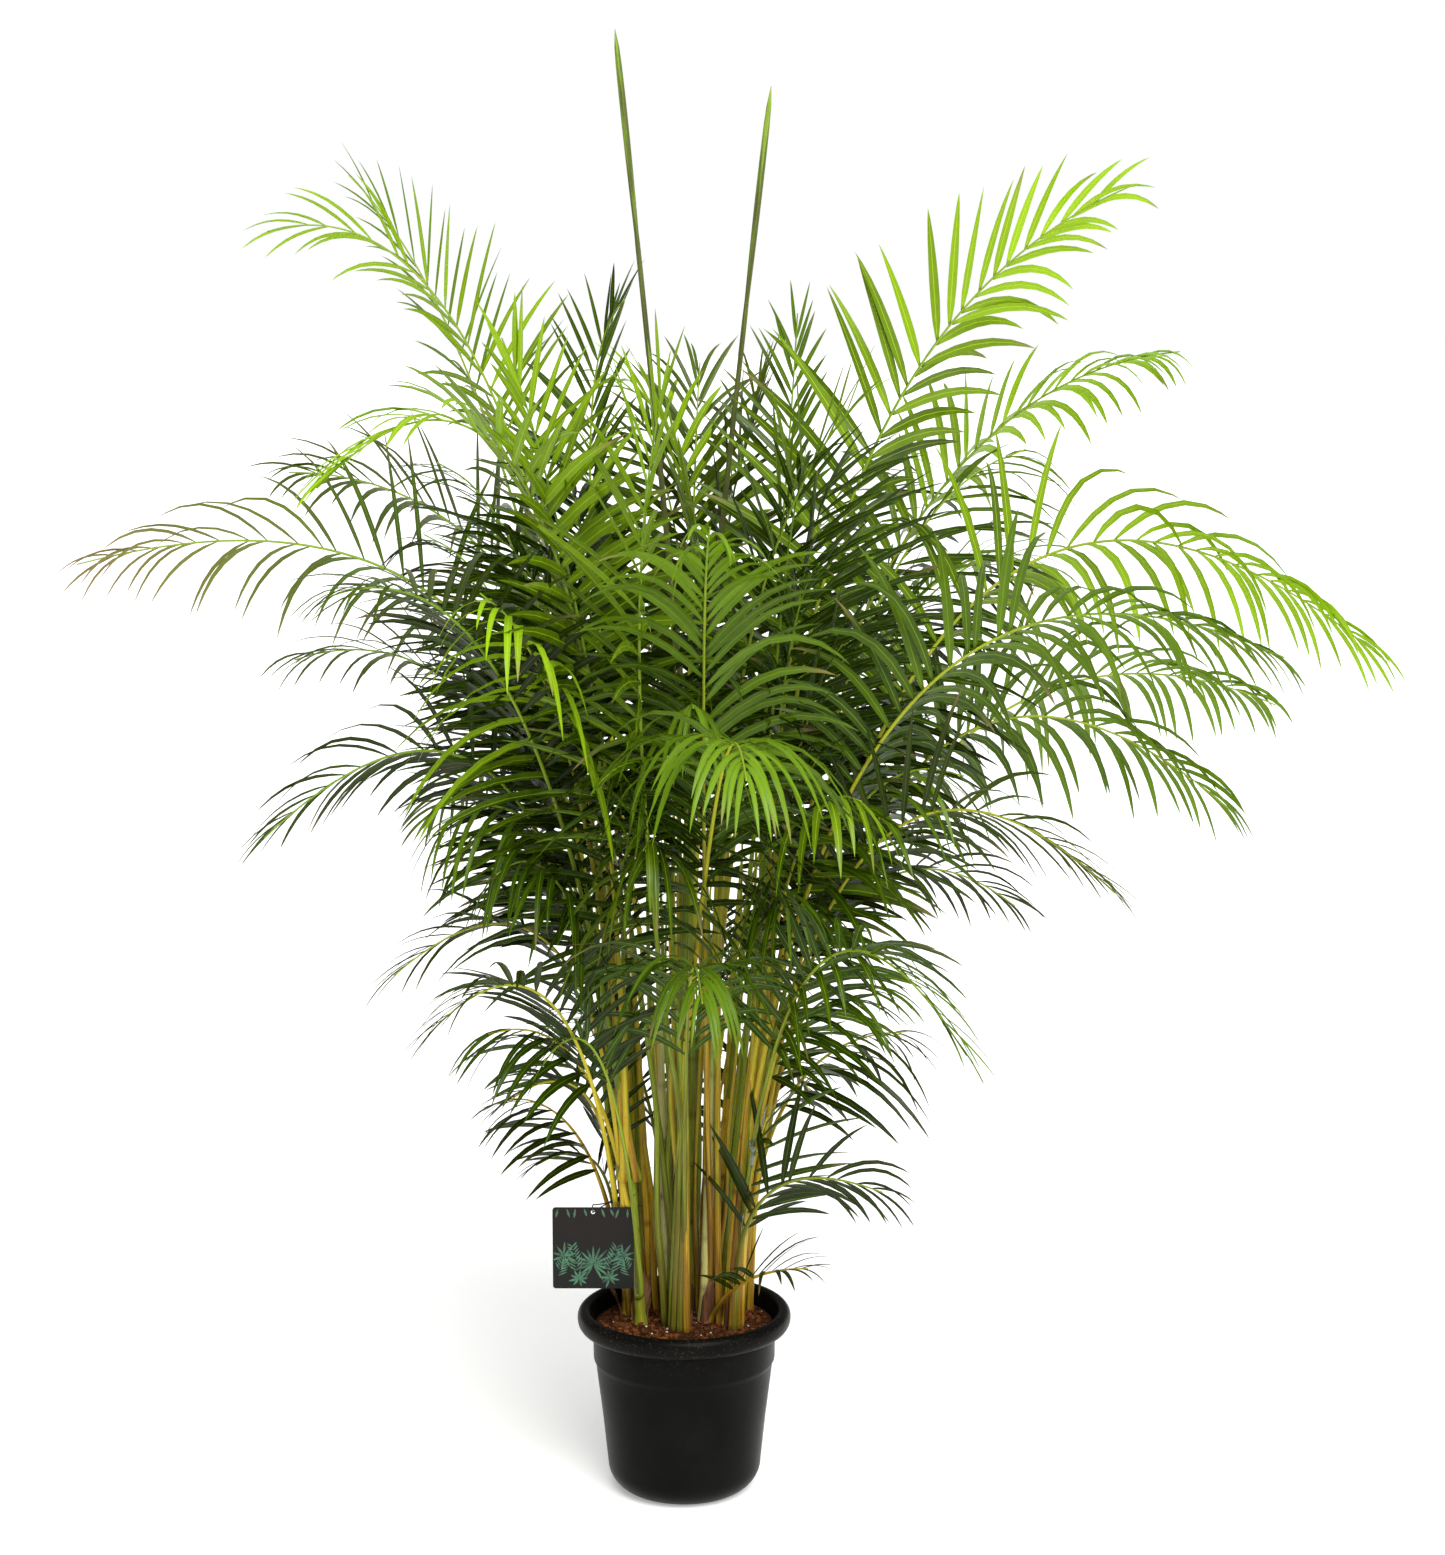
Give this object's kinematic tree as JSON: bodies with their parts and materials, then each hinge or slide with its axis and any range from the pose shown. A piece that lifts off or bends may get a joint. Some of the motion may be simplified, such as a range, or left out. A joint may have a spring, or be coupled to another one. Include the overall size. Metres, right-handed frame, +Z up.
{
  "type": "potted palm",
  "caption": "Tall areca palm with a clump of golden canes and arching feather fronds, growing in a round black nursery pot with a blank hang tag.",
  "frame": {"origin": "centre of the pot's flat underside, on the surface it stands on", "axes": "+Z up, along the pot's axis and the canes; -Y towards the side that carries the hang tag; +X to the right as seen from that side"},
  "size_m": [1.842, 1.6872, 2.0181],
  "materials": {
    "pot": "satin",
    "soil": "matte",
    "cane": "satin",
    "leaf_bright": "satin",
    "leaf_green": "satin",
    "leaf_dark": "satin",
    "tag": "satin",
    "tie": "satin"
  },
  "bodies": {
    "root": {"pot": "pot", "soil": "soil", "cane_01": "cane", "cane_02": "cane", "cane_03": "cane", "cane_04": "cane", "cane_05": "cane", "cane_06": "cane", "cane_07": "cane", "cane_08": "cane", "cane_09": "cane", "cane_10": "cane", "cane_11": "cane", "cane_12": "cane", "spear_01": "leaf_green", "spear_02": "leaf_green", "frond_01": "leaf_bright", "frond_02": "leaf_green", "frond_03": "leaf_bright", "frond_04": "leaf_green", "frond_05": "leaf_dark", "frond_06": "leaf_dark", "frond_07": "leaf_dark", "frond_08": "leaf_green", "frond_09": "leaf_dark", "frond_10": "leaf_dark", "frond_11": "leaf_bright", "frond_12": "leaf_dark", "frond_13": "leaf_dark", "frond_14": "leaf_dark", "frond_15": "leaf_bright", "frond_16": "leaf_green", "frond_17": "leaf_bright", "frond_18": "leaf_green", "frond_19": "leaf_dark", "frond_20": "leaf_dark", "frond_21": "leaf_green", "frond_22": "leaf_bright", "frond_23": "leaf_bright", "frond_24": "leaf_bright", "frond_25": "leaf_green", "frond_26": "leaf_green", "frond_27": "leaf_green", "frond_28": "leaf_dark", "frond_29": "leaf_dark", "frond_30": "leaf_green", "frond_31": "leaf_green", "frond_32": "leaf_green", "frond_33": "leaf_dark", "frond_34": "leaf_dark", "frond_35": "leaf_green", "frond_36": "leaf_green", "frond_37": "leaf_dark", "frond_38": "leaf_green", "frond_39": "leaf_dark", "frond_40": "leaf_bright", "frond_41": "leaf_dark", "frond_42": "leaf_dark", "hang_tag": "tag", "tag_tie": "tie"}
  },
  "joints": []
}
